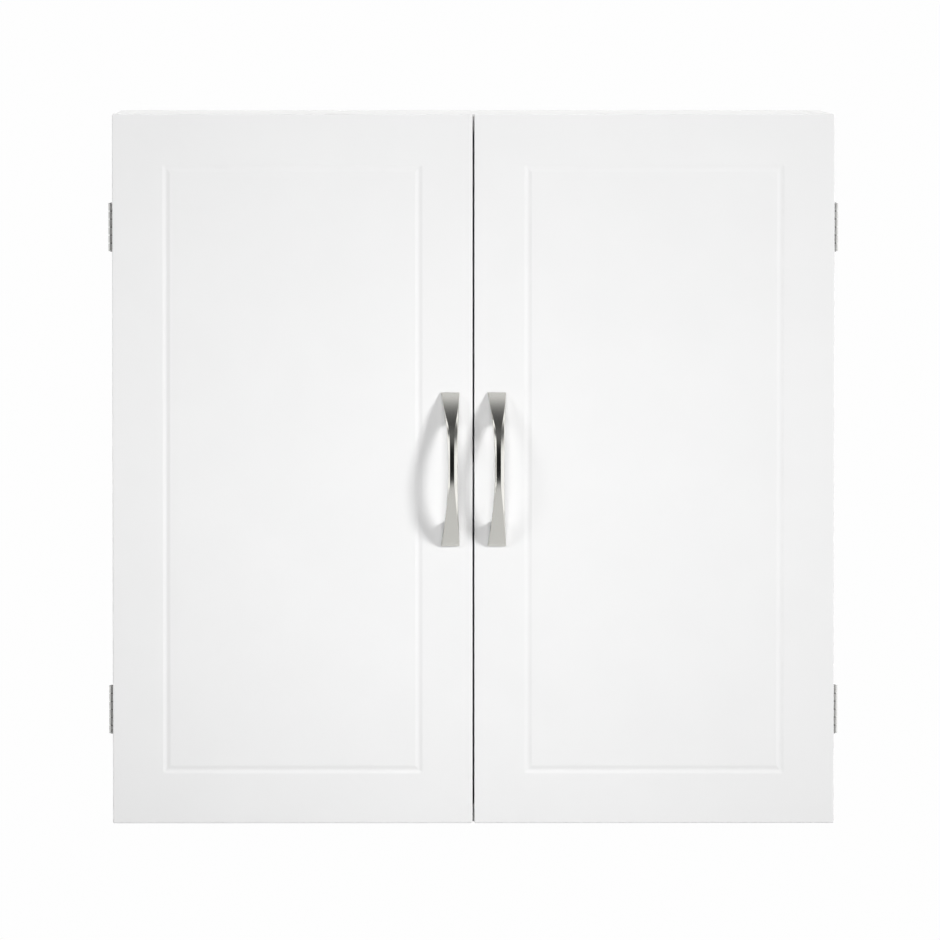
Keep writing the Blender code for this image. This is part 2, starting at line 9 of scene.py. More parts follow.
import bpy
import numpy as np
from bpy.props import FloatProperty, FloatVectorProperty, PointerProperty
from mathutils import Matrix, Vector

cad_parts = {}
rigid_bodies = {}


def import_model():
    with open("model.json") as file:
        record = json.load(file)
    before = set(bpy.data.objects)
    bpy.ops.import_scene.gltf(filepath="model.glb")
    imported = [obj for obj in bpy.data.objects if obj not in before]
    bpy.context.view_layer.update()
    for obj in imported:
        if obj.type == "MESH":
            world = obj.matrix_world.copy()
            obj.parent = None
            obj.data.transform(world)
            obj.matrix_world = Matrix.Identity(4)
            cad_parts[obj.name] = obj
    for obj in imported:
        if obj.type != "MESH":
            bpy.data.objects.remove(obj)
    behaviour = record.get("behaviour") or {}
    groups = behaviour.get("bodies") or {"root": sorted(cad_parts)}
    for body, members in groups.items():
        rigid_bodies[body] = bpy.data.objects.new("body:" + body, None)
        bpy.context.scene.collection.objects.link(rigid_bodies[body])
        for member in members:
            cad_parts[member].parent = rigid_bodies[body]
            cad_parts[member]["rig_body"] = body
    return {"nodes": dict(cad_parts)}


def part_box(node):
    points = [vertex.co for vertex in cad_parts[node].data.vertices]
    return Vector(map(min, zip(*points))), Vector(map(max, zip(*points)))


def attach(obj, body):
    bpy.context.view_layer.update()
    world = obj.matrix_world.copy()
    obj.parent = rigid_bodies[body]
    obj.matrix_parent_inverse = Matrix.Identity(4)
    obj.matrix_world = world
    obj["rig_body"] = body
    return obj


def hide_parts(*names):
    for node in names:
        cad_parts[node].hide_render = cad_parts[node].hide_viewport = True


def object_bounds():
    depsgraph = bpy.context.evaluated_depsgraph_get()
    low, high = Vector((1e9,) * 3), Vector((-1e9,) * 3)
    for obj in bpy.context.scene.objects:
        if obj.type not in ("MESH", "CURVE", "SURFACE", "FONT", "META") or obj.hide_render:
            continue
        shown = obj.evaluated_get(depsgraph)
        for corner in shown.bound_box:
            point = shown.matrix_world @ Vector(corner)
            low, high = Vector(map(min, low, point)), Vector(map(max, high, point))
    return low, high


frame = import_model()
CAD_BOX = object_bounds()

bl_info = {
    "name": "Hanging wall cabinet",
    "version": (1, 0, 0),
    "blender": (4, 5, 0),
    "location": "3D View > Sidebar > Cabinet",
    "description": "Builds the boards, doors, handles and fittings of a hanging wall cabinet",
    "category": "Object",
}

X, Y, Z = range(3)
MM = 0.001
HANDS = ("left", "right")
SHARP_ANGLE = math.radians(35)
PLAY = 0.3 * MM  # clearance round a piece that is let into another
MIXED_COLOUR = 2  # the Mix node's output for colours
SPECK = 0.0001  # the smallest corner radius, which still keeps a loop's points apart


def linear(colour):
    """The linear RGBA of an sRGB hex colour, by the sRGB curve."""
    share = np.array([int(colour[i : i + 2], 16) for i in (1, 3, 5)]) / 255
    straight = np.where(share <= 0.04045, share / 12.92, ((share + 0.055) / 1.055) ** 2.4)
    return (*straight.tolist(), 1.0)


def length(name, description, default):
    return FloatProperty(name=name, description=description, default=default, min=0.0, unit="LENGTH")


def colour(name, description, default):
    return FloatVectorProperty(
        name=name, description=description, default=linear(default), size=4, min=0, max=1, subtype="COLOR"
    )


def amount(name, description, default):
    return FloatProperty(name=name, description=description, default=default, min=0.0)


def power(name, description, default):
    return FloatProperty(name=name, description=description, default=default, min=0.0, unit="POWER")


class CabinetSizes(bpy.types.PropertyGroup):
    """Sizes of edges, routed line, handle and hinges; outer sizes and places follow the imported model"""

    board_arris: length("Board arris", "Radius of the long edges of a board", 0.5 * MM)
    board_corner: length("Board corner", "Radius of a board's four corners", 0.8 * MM)
    door_edge: length("Door edge", "Radius of the edge round a door's face", 0.5 * MM)
    rout_inset: length("Rout inset", "From the door's edge to the routed line", 41 * MM)
    rout_width: length("Rout width", "Width of the routed line", 7.5 * MM)
    rout_depth: length("Rout depth", "Depth of the routed line", 0.45 * MM)
    rout_corner: length("Rout corner", "Radius of the routed line's outer corners", 3.0 * MM)
    handle_ridge: length("Handle ridge", "How far the handle's front face stands off its sides", 1.6 * MM)
    handle_end_ridge: length("Handle end ridge", "The same at the handle's ends", 0.7 * MM)
    handle_grip: length("Handle grip", "Thickness of the bow between its feet", 3.0 * MM)
    handle_leg: length("Handle leg", "Length of a foot along the handle", 21 * MM)
    leaf_thickness: length("Leaf thickness", "Thickness of a hinge leaf", 1.0 * MM)
    knuckle_chamfer: length("Knuckle chamfer", "Bevel at each end of a hinge knuckle", 0.3 * MM)


class CabinetColours(bpy.types.PropertyGroup):
    """Base colours of the finishes"""

    melamine: colour("Melamine", "White film on the carcass boards", "#F2F2F1")
    foil: colour("Door foil", "White foil wrapped round the doors", "#F1F1F1")
    lacquer: colour("Back lacquer", "White coat on the front of the back panel", "#EDEDEB")
    fibre: colour("Hardboard fibre", "Bare rear of the back panel", "#9A7650")
    chip_light: colour("Light chips", "Pale chips of the bare chipboard edges", "#CDB18A")
    chip_dark: colour("Dark chips", "Dark chips of the bare chipboard edges", "#94704A")
    nickel: colour("Satin nickel", "Plating of the handles", "#D3D2CD")
    steel: colour("Nickel-plated steel", "Hinges, shelf pins and striker plates", "#D8D8D6")
    # The pins' grey is far darker than steel: painted shade for the gaps between the hinge knuckles
    drawn: colour("Drawn steel", "Pins of the hinges", "#6E6E6C")
    zinc: colour("Zinc-plated steel", "Screws", "#B9BCC1")
    plastic: colour("White ABS", "Housings of the magnetic catches", "#E9E9E5")
    ferrite: colour("Ferrite", "Magnets of the catches", "#2E2D2C")
    floor: colour("Floor", "Pale matt floor under the cabinet", "#F4F4F4")


class CabinetStudio(bpy.types.PropertyGroup):
    """Lights and camera"""

    key_power: power("Key", "Soft light from the upper right", 143.0)
    fill_power: power("Fill", "Soft light from the upper left", 7.2)
    front_power: power("Front", "Soft light straight in front, a little below the doors' middle", 4.55)
    rear_power: power("Rear", "Each of the soft lights behind the doors' plane", 26.0)
    top_power: power("Top", "Soft light over the cabinet", 13.5)
    gloss: amount("Gloss", "Brightness of the studio in reflections", 1.44)
    ambient: amount("Ambient", "Brightness of the studio on matt faces", 0.18)
    lens: FloatProperty(name="Lens", description="Focal length of the camera", default=383.0, unit="CAMERA")
    floor_drop: length("Floor drop", "From the cabinet's foot to the floor", 1.3)
    floor_radius: length("Floor radius", "Radius of the round floor", 11.5)


def sizes():
    return bpy.context.scene.cabinet_sizes


def colours():
    return bpy.context.scene.cabinet_colours


# Meshes


def box(*nodes):
    """Lowest and highest corner of CAD nodes together, as two arrays."""
    corners = np.array([[list(corner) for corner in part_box(node)] for node in nodes])
    return corners[:, 0].min(0), corners[:, 1].max(0)


def shell(grid, ring=False):
    """A closed skin over a grid of points, one closed loop of points to a row.

    Each face joins a point to the next along its row and to the two above them. The first and last rows
    are filled, or joined to each other with ring. The volume, which is the sum of each face's corner
    determinants, says by its sign whether the faces have to be turned outwards.
    """
    rows, columns = grid.shape[:2]
    points = grid.reshape(-1, 3)
    here = np.arange(columns)
    beside = (here + 1) % columns
    first = np.arange(rows if ring else rows - 1)[:, None] * columns
    after = (first + columns) % (rows * columns)
    corners = [first + here, first + beside, after + beside, after + here]
    faces = [np.stack(corners, -1).reshape(-1, 4)]
    if not ring:
        faces += [here[None, ::-1], (rows - 1) * columns + here[None]]
    about = points - points.mean(0)
    volume = sum(
        (np.cross(about[group[:, 1:-1]], about[group[:, 2:]]) * about[group[:, :1]]).sum()
        for group in faces
    )
    return points, [group if volume > 0 else group[:, ::-1] for group in faces]


def mesh_of(name, shells):
    """One mesh of several shells."""
    starts = np.cumsum([0] + [len(points) for points, _ in shells])
    faces = [
        face
        for (_, groups), start in zip(shells, starts)
        for group in groups
        for face in (group + start).tolist()
    ]
    mesh = bpy.data.meshes.new(name)
    mesh.from_pydata(np.concatenate([points for points, _ in shells]), [], faces)
    return mesh


def shown(name, shells):
    made = bpy.data.objects.new(name, mesh_of(name, shells))
    bpy.context.scene.collection.objects.link(made)
    return made


def carve(obj, shells):
    """Takes closed shells away from obj with an exact Boolean and keeps the result as its mesh."""
    tool = shown("cutter", shells)
    cut = obj.modifiers.new("cut", "BOOLEAN")
    cut.operation = "DIFFERENCE"
    cut.solver = "EXACT"
    cut.object = tool
    graph = bpy.context.evaluated_depsgraph_get()
    carved = bpy.data.meshes.new_from_object(obj.evaluated_get(graph))
    if not carved.polygons:
        raise RuntimeError(f"{obj.name}: its cutters left nothing")
    obj.modifiers.clear()
    old, obj.data = obj.data, carved
    bpy.data.meshes.remove(old)
    old = tool.data
    bpy.data.objects.remove(tool)
    bpy.data.meshes.remove(old)


def dress(obj, *finishes):
    """Smooth shading with sharp edges past 35 degrees, and the finishes as material slots."""
    obj.data.materials.clear()
    for finish in finishes:
        obj.data.materials.append(finish)
    obj.data.shade_smooth()
    obj.data.set_sharp_from_angle(angle=SHARP_ANGLE)


def fit(obj, body, *nodes, slot, look=None):
    """Dresses a piece and hangs it on its body, in place of the CAD nodes it stands for."""
    if look:
        dress(obj, finished(look))
    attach(obj, body)
    if nodes:
        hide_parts(*nodes)


def body_of(node):
    return frame["nodes"][node]["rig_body"]


def paint_rear(obj, level):
    """Gives the second finish to the flat faces that look along +Y and lie within 0.3 mm of that level."""
    count = len(obj.data.polygons)
    normals, centres = np.empty(3 * count), np.empty(3 * count)
    obj.data.polygons.foreach_get("normal", normals)
    obj.data.polygons.foreach_get("center", centres)
    rear = (normals[1::3] > 0.99) & (np.abs(centres[1::3] - level) < 0.3 * MM)
    obj.data.polygons.foreach_set("material_index", rear.astype(np.int32))


def across_and_up(direction):
    """Two unit vectors at right angles to a unit direction and to each other."""
    across = np.cross(direction, np.roll(np.abs(direction), 1))
    across /= np.linalg.norm(across)
    return across, np.cross(direction, across)


def turned(profile, point, direction, sides=32):
    """A solid of revolution.

    At angle a a profile point (radius, height) lies at point + height * direction
    + radius * (cos a * across + sin a * up), with across and up at right angles to direction.
    """
    profile, direction = np.asarray(profile, float), np.asarray(direction, float)
    across, up = across_and_up(direction)
    angle = np.linspace(0, 2 * np.pi, sides, endpoint=False)[:, None]
    rim = np.cos(angle) * across + np.sin(angle) * up
    return shell(point + profile[:, 1, None, None] * direction + profile[:, 0, None, None] * rim)


def ringed(profile, point, sides=48):
    """A ring about an upright axis: turned, with its (radius, height) profile closed on itself."""
    profile = np.asarray(profile, float)
    angle = np.linspace(0, 2 * np.pi, sides, endpoint=False)[:, None]
    rim = np.concatenate([np.cos(angle), np.sin(angle), 0 * angle], 1)
    grid = point + profile[:, 1, None, None] * np.array((0, 0, 1)) + profile[:, 0, None, None] * rim
    return shell(grid, ring=True)


def outlines(half_a, half_b, radius, lead, steps=6):
    """Rectangles with rounded corners, one to each entry of half_a, half_b and radius.

    Corner k is a quarter circle about its centre: centre + radius * (cos t, sin t) with t from k to k + 1
    quarter turns. A point before and after it, lead further along the straight, keeps the straight flat.
    """
    way = np.array([(1, 1), (-1, 1), (-1, -1), (1, -1)])
    share = np.linspace(0, 1, steps + 1)[np.r_[0, : steps + 1, steps]]
    turn = (np.arange(4)[:, None] + share) * np.pi / 2
    slide = np.zeros(steps + 3)
    slide[[0, -1]] = -lead, lead
    round_ = np.stack([np.cos(turn), np.sin(turn)], -1)
    ahead = np.stack([-np.sin(turn), np.cos(turn)], -1) * slide[:, None]
    half = np.stack([half_a, half_b], -1) - radius[:, None]
    grid = way[None, :, None] * half[:, None, None] + radius[:, None, None, None] * round_ + ahead
    return grid.reshape(len(half), -1, 2)


def slab(low, high, axis, rows, lead=2 * MM):
    """A board between two corners.

    rows are (inset, height, corner radius) from its lower face to its upper one along axis: each is the
    board's outline drawn in by the inset, at that height, and the skin runs over them.
    """
    rows = np.asarray(rows, float)
    a, b = [i for i in range(3) if i != axis]
    middle, half = (low + high) / 2, (high - low) / 2
    loops = outlines(half[a] - rows[:, 0], half[b] - rows[:, 0], rows[:, 2], lead)
    grid = np.empty((*loops.shape[:2], 3))
    grid[..., a] = middle[a] + loops[..., 0]
    grid[..., b] = middle[b] + loops[..., 1]
    grid[..., axis] = low[axis] + rows[:, 1, None]
    return shell(grid)


def edge(radius, corner, steps=4):
    """Rows (inset, height, corner radius) of one rounded edge, from the face to the side.

    The inset is radius * (1 - sin t) and the height radius * (1 - cos t), with t up to a quarter turn. A
    row on the face and one on the side keep those two flat.
    """
    turn = np.linspace(0, np.pi / 2, steps + 1)
    inset = np.r_[4 * radius, radius * (1 - np.sin(turn)), 0]
    height = np.r_[0, radius * (1 - np.cos(turn)), 2 * radius]
    return np.stack([inset, height, np.maximum(corner - inset, SPECK)], 1)


def both_edges(thickness, arris, corner):
    """Rows of a board with the same rounded edge at both faces."""
    rows = edge(arris, corner)
    return np.concatenate([rows, (rows * (1, -1, 1) + (0, thickness, 0))[::-1]])


def plank(low, high, axis, arris=None, corner=None):
    arris = sizes().board_arris if arris is None else arris
    corner = sizes().board_corner if corner is None else corner
    return slab(low, high, axis, both_edges((high - low)[axis], arris, corner))


def block(low, high):
    """A plain box for a cutter."""
    low, high = np.minimum(low, high), np.maximum(low, high)
    corner = np.array([(0, 0), (1, 0), (1, 1), (0, 1)])
    grid = np.empty((2, 4, 3))
    grid[..., :2] = low[:2] + corner * (high - low)[:2]
    grid[0, :, 2], grid[1, :, 2] = low[2], high[2]
    return shell(grid)


# Finishes


def add(tree, kind, inputs=None, **settings):
    """Adds a node with its settings, and gives each named input a value or a link."""
    made = tree.nodes.new(kind)
    for name, value in settings.items():
        setattr(made, name, value)
    for name, value in (inputs or {}).items():
        if isinstance(value, bpy.types.NodeSocket):
            tree.links.new(value, made.inputs[name])
        else:
            made.inputs[name].default_value = value
    return made


def finish(name, colour_name, roughness, metallic=0.0, **plain):
    """A Principled BSDF with its uniform values on its own sockets.

    Returns the material, its tree, the BSDF, Object coordinates and the base colour of that name.
    """
    base = tuple(getattr(colours(), colour_name))
    made = bpy.data.materials.new(name)
    made.use_nodes = True
    tree = made.node_tree
    shader = tree.nodes["Principled BSDF"]
    values = {"Base Color": base, "Roughness": roughness, "Metallic": metallic, **plain}
    for socket, value in values.items():
        shader.inputs[socket].default_value = value
    return made, tree, shader, add(tree, "ShaderNodeTexCoord").outputs["Object"], base


def noise(tree, place, size, detail=2.0, stretch=(1, 1, 1)):
    """Noise whose cells are size metres across, and longer by stretch along each axis."""
    scale = tuple(1 / (size * share) for share in stretch)
    spot = add(tree, "ShaderNodeMapping", {"Vector": place, "Scale": scale})
    cells = {"Vector": spot.outputs[0], "Scale": 1.0, "Detail": detail}
    return add(tree, "ShaderNodeTexNoise", cells).outputs[0]


def vary(tree, shader, socket, field, low, high):
    """Runs a number socket between two values as the field goes from 0.3 to 0.7."""
    spread = {"Value": field, "From Min": 0.3, "From Max": 0.7, "To Min": low, "To Max": high}
    tree.links.new(add(tree, "ShaderNodeMapRange", spread).outputs[0], shader.inputs[socket])


def tint(tree, shader, field, one, other):
    """Mixes two colours into the base colour as the field goes from 0.3 to 0.7."""
    share = add(tree, "ShaderNodeMapRange", {"Value": field, "From Min": 0.3, "From Max": 0.7}).outputs[0]
    mixed = add(tree, "ShaderNodeMix", {"Factor": share, "A": one, "B": other}, data_type="RGBA")
    tree.links.new(mixed.outputs[MIXED_COLOUR], shader.inputs["Base Color"])


def relief(tree, shader, field, height, strength=1.0):
    """Bumps the surface by height metres."""
    bump = {"Height": field, "Distance": height, "Strength": strength}
    tree.links.new(add(tree, "ShaderNodeBump", bump).outputs[0], shader.inputs["Normal"])


def darker(base, share):
    return tuple(channel * share for channel in base[:3]) + (1.0,)


def melamine_film():
    # White melamine film, pressed hot on chipboard by a satin steel plate: even, hard, with a faint
    # orange peel of about 1.2 mm that softens reflections.
    made, tree, shader, place, base = finish("pressed white melamine", "melamine", 0.42)
    tint(tree, shader, noise(tree, place, 60 * MM), base, darker(base, 0.985))
    vary(tree, shader, "Roughness", noise(tree, place, 9 * MM, 4.0), 0.38, 0.46)
    relief(tree, shader, noise(tree, place, 1.2 * MM), 0.012 * MM)
    return made


def door_foil():
    # White PVC foil, drawn by vacuum over routed MDF: satin, a little softer than melamine, with a
    # 1.6 mm orange peel from the glue and fibre below it.
    made, tree, shader, place, base = finish("satin white PVC foil", "foil", 0.40)
    tint(tree, shader, noise(tree, place, 45 * MM), base, darker(base, 0.988))
    vary(tree, shader, "Roughness", noise(tree, place, 12 * MM, 4.0), 0.36, 0.44)
    relief(tree, shader, noise(tree, place, 1.6 * MM), 0.014 * MM)
    return made


def lacquered_hardboard():
    # Hardboard with a thin white printed coat: matter than the boards, with fibres just showing.
    made, tree, shader, place, base = finish("white-coated hardboard", "lacquer", 0.58)
    tint(tree, shader, noise(tree, place, 4 * MM, 6.0, (3, 1, 1)), base, darker(base, 0.965))
    relief(tree, shader, noise(tree, place, 0.7 * MM, 4.0, (3, 1, 1)), 0.02 * MM)
    return made


def bare_hardboard():
    # The unfinished rear of hardboard: brown pressed wood fibre with the mesh of the press screen, whose
    # 1.5 mm wires are drawn 4.8 mm apart so that they show.
    made, tree, shader, place, base = finish("bare pressed fibre", "fibre", 0.85)
    tint(tree, shader, noise(tree, place, 5 * MM, 8.0, (4, 1, 1)), darker(base, 1.12), darker(base, 0.78))
    wires = {"Vector": place, "Scale": 65.0, "Distortion": 0.4}
    first, second = [add(tree, "ShaderNodeTexWave", wires, bands_direction=way).outputs[1] for way in "XZ"]
    both = add(tree, "ShaderNodeMath", {0: first, 1: second}, operation="ADD")
    relief(tree, shader, both.outputs[0], 0.05 * MM)
    return made


def bare_chipboard():
    # Sawn chipboard without edging: chips about 1.4 mm wide and 2.9 mm long, light to dark.
    made, tree, shader, place, light = finish("sawn chipboard", "chip_light", 0.9)
    dark = tuple(colours().chip_dark)
    spot = add(tree, "ShaderNodeMapping", {"Vector": place, "Scale": (700, 700, 350)}).outputs[0]
    chips = add(tree, "ShaderNodeTexVoronoi", {"Vector": spot, "Scale": 1.0, "Randomness": 1.0})
    apart = add(tree, "ShaderNodeSeparateColor", {"Color": chips.outputs["Color"]}).outputs[0]
    mixed = add(tree, "ShaderNodeMix", {"Factor": apart, "A": light, "B": dark}, data_type="RGBA")
    tree.links.new(mixed.outputs[MIXED_COLOUR], shader.inputs["Base Color"])
    relief(tree, shader, chips.outputs["Distance"], 0.15 * MM)
    return made


def satin_nickel():
    # Nickel plate on a zinc casting, brushed along the bow: a warm grey metal whose reflections are drawn
    # out along fine lines. The 0.1 mm lines are drawn 0.35 mm apart so that they show.
    made, tree, shader, place, base = finish("brushed satin nickel", "nickel", 0.2, 1.0)
    lines = noise(tree, place, 0.35 * MM, 3.0, (1, 1, 40))
    vary(tree, shader, "Roughness", lines, 0.14, 0.24)
    relief(tree, shader, lines, 0.004 * MM)
    return made


def plated_steel():
    # Rolled steel strip with dull nickel plate: smooth and pale, with faint scuffs from the tumbling barrel.
    made, tree, shader, place, base = finish("nickel-plated steel", "steel", 0.56, 1.0)
    vary(tree, shader, "Roughness", noise(tree, place, 1.5 * MM, 6.0), 0.5, 0.62)
    relief(tree, shader, noise(tree, place, 0.5 * MM, 3.0), 0.003 * MM)
    return made


def drawn_steel():
    # Plain drawn wire for the hinge pins: darker than the plated leaves, with fine lines along its length.
    # Its grey is far darker than steel is, so that the gaps between the knuckles show dark: painted shade.
    made, tree, shader, place, base = finish("drawn steel wire", "drawn", 0.4, 1.0)
    lines = noise(tree, place, 0.2 * MM, 3.0, (1, 1, 30))
    vary(tree, shader, "Roughness", lines, 0.34, 0.48)
    return made


def zinc_steel():
    # Cold-headed steel screws with blue-passivated zinc: a cool, slightly mottled grey.
    made, tree, shader, place, base = finish("zinc-plated steel", "zinc", 0.36, 1.0)
    tint(tree, shader, noise(tree, place, 1.0 * MM, 4.0), base, darker(base, 0.85))
    vary(tree, shader, "Roughness", noise(tree, place, 0.6 * MM, 4.0), 0.3, 0.44)
    return made


def moulded_abs():
    # White ABS from a spark-eroded mould: fine matt grain of about 0.3 mm.
    made, tree, shader, place, base = finish("moulded white ABS", "plastic", 0.5, IOR=1.54)
    grain = noise(tree, place, 0.3 * MM, 2.0)
    vary(tree, shader, "Roughness", grain, 0.44, 0.56)
    relief(tree, shader, grain, 0.008 * MM)
    return made


def ferrite():
    # Sintered ferrite, ground flat: nearly black, dull and finely pitted.
    made, tree, shader, place, base = finish("ground ferrite", "ferrite", 0.6)
    pits = noise(tree, place, 0.25 * MM, 4.0)
    tint(tree, shader, pits, base, darker(base, 0.6))
    relief(tree, shader, pits, 0.02 * MM)
    return made


def matt_floor():
    # A pale matt studio floor with hardly any pattern. It glows, so that it stays pale far from the lamps.
    made, tree, shader, place, base = finish("matt studio floor", "floor", 0.9)
    shader.inputs["Emission Color"].default_value = (1, 1, 1, 1)
    shader.inputs["Emission Strength"].default_value = 0.6
    tint(tree, shader, noise(tree, place, 0.4), base, darker(base, 0.99))
    return made


FINISHES = {}


def finished(maker):
    """A finish, made the first time it is asked for."""
    if maker.__name__ not in FINISHES:
        FINISHES[maker.__name__] = maker()
    return FINISHES[maker.__name__]


# Fittings


def plus(low_reach, high_reach, width, point, direction, depth):
    """A cross-shaped driver recess, from its mouth at point down to depth.

    Its outline is a plus of four arms; at the mouth the arms reach high_reach from the middle, and at the
    foot low_reach, and width is theirs at the mouth.
    """
    arm, side = 1.0, width / high_reach / 2
    outline = np.array([(arm, -side), (arm, side), (side, side), (side, arm), (-side, arm), (-side, side)])
    outline = np.concatenate([outline, -outline])
    direction = np.asarray(direction, float)
    across, up = across_and_up(direction)
    flat = outline[:, :1] * across + outline[:, 1:] * up
    start = point - direction * depth * 0.2
    grow = high_reach + (high_reach - low_reach) * 0.2
    return shell(np.stack([start + flat * grow, point + direction * depth + flat * low_reach]))


def socketed(name, profile, point, direction, recess, body, *nodes):
    """A turned zinc-plated fixing with a recess in its head, hung on its body."""
    made = shown(name, [turned(profile, point, direction)])
    carve(made, [recess])
    fit(made, body, *nodes, slot="zinc_steel", look=zinc_steel)


def flat_head_screw(name, point, direction, head, shank, sink, end, *where):
    """A countersunk screw: a flat head with a small rim, its cone, the shank and a point, head at point."""
    rim = 0.1 * MM
    profile = [(head - rim, 0), (head, rim), (shank, sink), (shank, end * 0.75), (SPECK, end)]
    reach = head * 0.55
    recess = plus(reach * 0.45, reach, head * 0.28, np.asarray(point), direction, sink * 0.7)
    socketed(name, profile, point, direction, recess, *where)


def pan_head_screw(name, point, direction, head, rise, shank, end, *where):
    """A pan head, a short rim and a quarter ellipse that ends rise above point, and a shank below it."""
    turn = np.linspace(0.15, np.pi / 2, 7)
    dome = np.stack([head * np.sin(turn), -rise * (0.35 + 0.65 * np.cos(turn))], 1)
    profile = np.concatenate([dome, [(head, 0), (shank, 0), (shank, end - shank), (shank * 0.6, end)]])
    reach = head * 0.5
    top = np.asarray(point) - np.asarray(direction, float) * rise
    recess = plus(reach * 0.45, reach, head * 0.26, top, direction, rise * 0.75)
    socketed(name, profile, point, direction, recess, *where)


def along(node, axis, way):
    """(middle of the end that a turned CAD node starts from, its direction, its length) along an axis."""
    low, high = box(node)
    point, direction = (low + high) / 2, np.zeros(3)
    point[axis] = low[axis] if way > 0 else high[axis]
    direction[axis] = way
    return point, direction, (high - low)[axis]


def leaf_pockets(hand, facing):
    """Cutters for the shallow pockets in a board's edge that this hand's hinge leaves lie in."""
    part = "frame_leaf" if facing > 0 else "door_leaf"
    cutters = []
    for level in ("upper", "lower"):
        low, high = box(f"{hand}_{level}_hinge_{part}")
        pin_low, pin_high = box(f"{hand}_{level}_hinge_pin")
        axis = (pin_low + pin_high) / 2
        outside = 4 * MM
        low, high = low - PLAY, high + PLAY
        low[X], high[X] = (low[X] - outside, high[X]) if hand == "left" else (low[X], high[X] + outside)
        if facing > 0:
            low[Y] = axis[Y]
        else:
            high[Y] = axis[Y]
        cutters.append(block(low, high))
    return cutters


class CABINET_OT_carcass(bpy.types.Operator):
    """Builds the sides, the top and bottom, the shelf, the back panel and the hanging rail"""

    bl_idname = "cabinet.carcass"
    bl_label = "Carcass boards"

    pin_hole = [(3.2 * MM, -1 * MM), (3.2 * MM, 0), (2.6 * MM, 0.45 * MM), (2.6 * MM, 9.2 * MM)]
    pin_hole_pitch = 32 * MM
    wall_hole = [(3 * MM, -1 * MM), (3 * MM, 20 * MM)]
    wall_hole_inset = 60 * MM

    def execute(self, context):
        film, raw = finished(melamine_film), finished(bare_chipboard)
        panel_low, panel_high = box("back_panel")
        groove = block(panel_low - PLAY, panel_high + PLAY)
        for hand in HANDS:
            low, high = box(f"{hand}_side")
            side = shown(f"{hand}_side_board", [plank(low, high, X)])
            way = -1 if hand == "left" else 1
            inner = high[X] if hand == "left" else low[X]
            holes = []
            for depth in ("front", "rear"):
                pin_low, pin_high = box(f"{hand}_{depth}_shelf_pin")
                middle = (pin_low + pin_high) / 2
                for row in (-1, 0, 1):
                    mouth = np.array([inner, middle[Y], middle[Z] + row * self.pin_hole_pitch])
                    holes.append(turned(self.pin_hole, mouth, (way, 0, 0)))
            carve(side, [groove, *holes])
            carve(side, leaf_pockets(hand, 1))
            dress(side, film, raw)
            paint_rear(side, 0.0)
            fit(side, "carcass", f"{hand}_side", slot="white_board")
        for node in ("top_panel", "bottom_panel"):
            board = shown(f"{node}_board", [plank(*box(node), Z)])
            carve(board, [groove])
            dress(board, film, raw)
            paint_rear(board, 0.0)
            fit(board, "carcass", node, slot="white_board")
        shelf = shown("shelf_board", [plank(*box("shelf"), Z)])
        dress(shelf, film)
        fit(shelf, "carcass", "shelf", slot="white_board")
        rail_low, rail_high = box("hanging_rail")
        left = box("left_side")[1][X] + self.wall_hole_inset
        right = box("right_side")[0][X] - self.wall_hole_inset
        holes = [turned(self.wall_hole, (x, rail_high[Y], 0.0), (0, -1, 0)) for x in (left, right)]
        rail = shown("hanging_rail_board", [plank(rail_low, rail_high, Y)])
        carve(rail, holes)
        dress(rail, film)
        fit(rail, "carcass", "hanging_rail", slot="white_board")
        back = shown("back_panel_sheet", [plank(panel_low, panel_high, Y, 0.15 * MM, 0.4 * MM)])
        carve(back, holes)
        dress(back, finished(lacquered_hardboard), finished(bare_hardboard))
        paint_rear(back, panel_high[Y])
        fit(back, "carcass", "back_panel", slot="hardboard")
        return {"FINISHED"}


class CABINET_OT_doors(bpy.types.Operator):
    """Builds the two doors with their routed rectangle"""

    bl_idname = "cabinet.doors"
    bl_label = "Doors"

    def rows(self, thickness):
        """Rows of a door from its face to its back.

        Across the routed line, at share s of its width, the depth is that of the line times sin^2(pi s).
        """
        size = sizes()
        share = np.linspace(1, 0, 17)
        inset = size.rout_inset + size.rout_width * share
        depth = size.rout_depth * np.sin(np.pi * share) ** 2
        radius = np.maximum(size.rout_corner - size.rout_width * share, SPECK)
        cove = np.stack([inset, depth, radius], 1)
        panel = [(inset[0] + 3 * MM, 0, SPECK), (inset[0] + 0.5 * MM, 0, SPECK)]
        frame_side = [(inset[-1] - 0.5 * MM, 0, size.rout_corner), (inset[-1] - 3 * MM, 0, size.rout_corner)]
        front = edge(size.door_edge, 1.2 * MM, 6)
        rear = edge(size.board_arris, 1.2 * MM) * (1, -1, 1) + (0, thickness, 0)
        return np.concatenate([panel, cove, frame_side, front, rear[::-1]])

    def execute(self, context):
        for hand in HANDS:
            node = f"{hand}_door"
            low, high = box(node)
            door = shown(f"{node}_panel", [slab(low, high, Y, self.rows((high - low)[Y]))])
            carve(door, leaf_pockets(hand, -1))
            fit(door, node, node, slot="door_foil", look=door_foil)
        return {"FINISHED"}


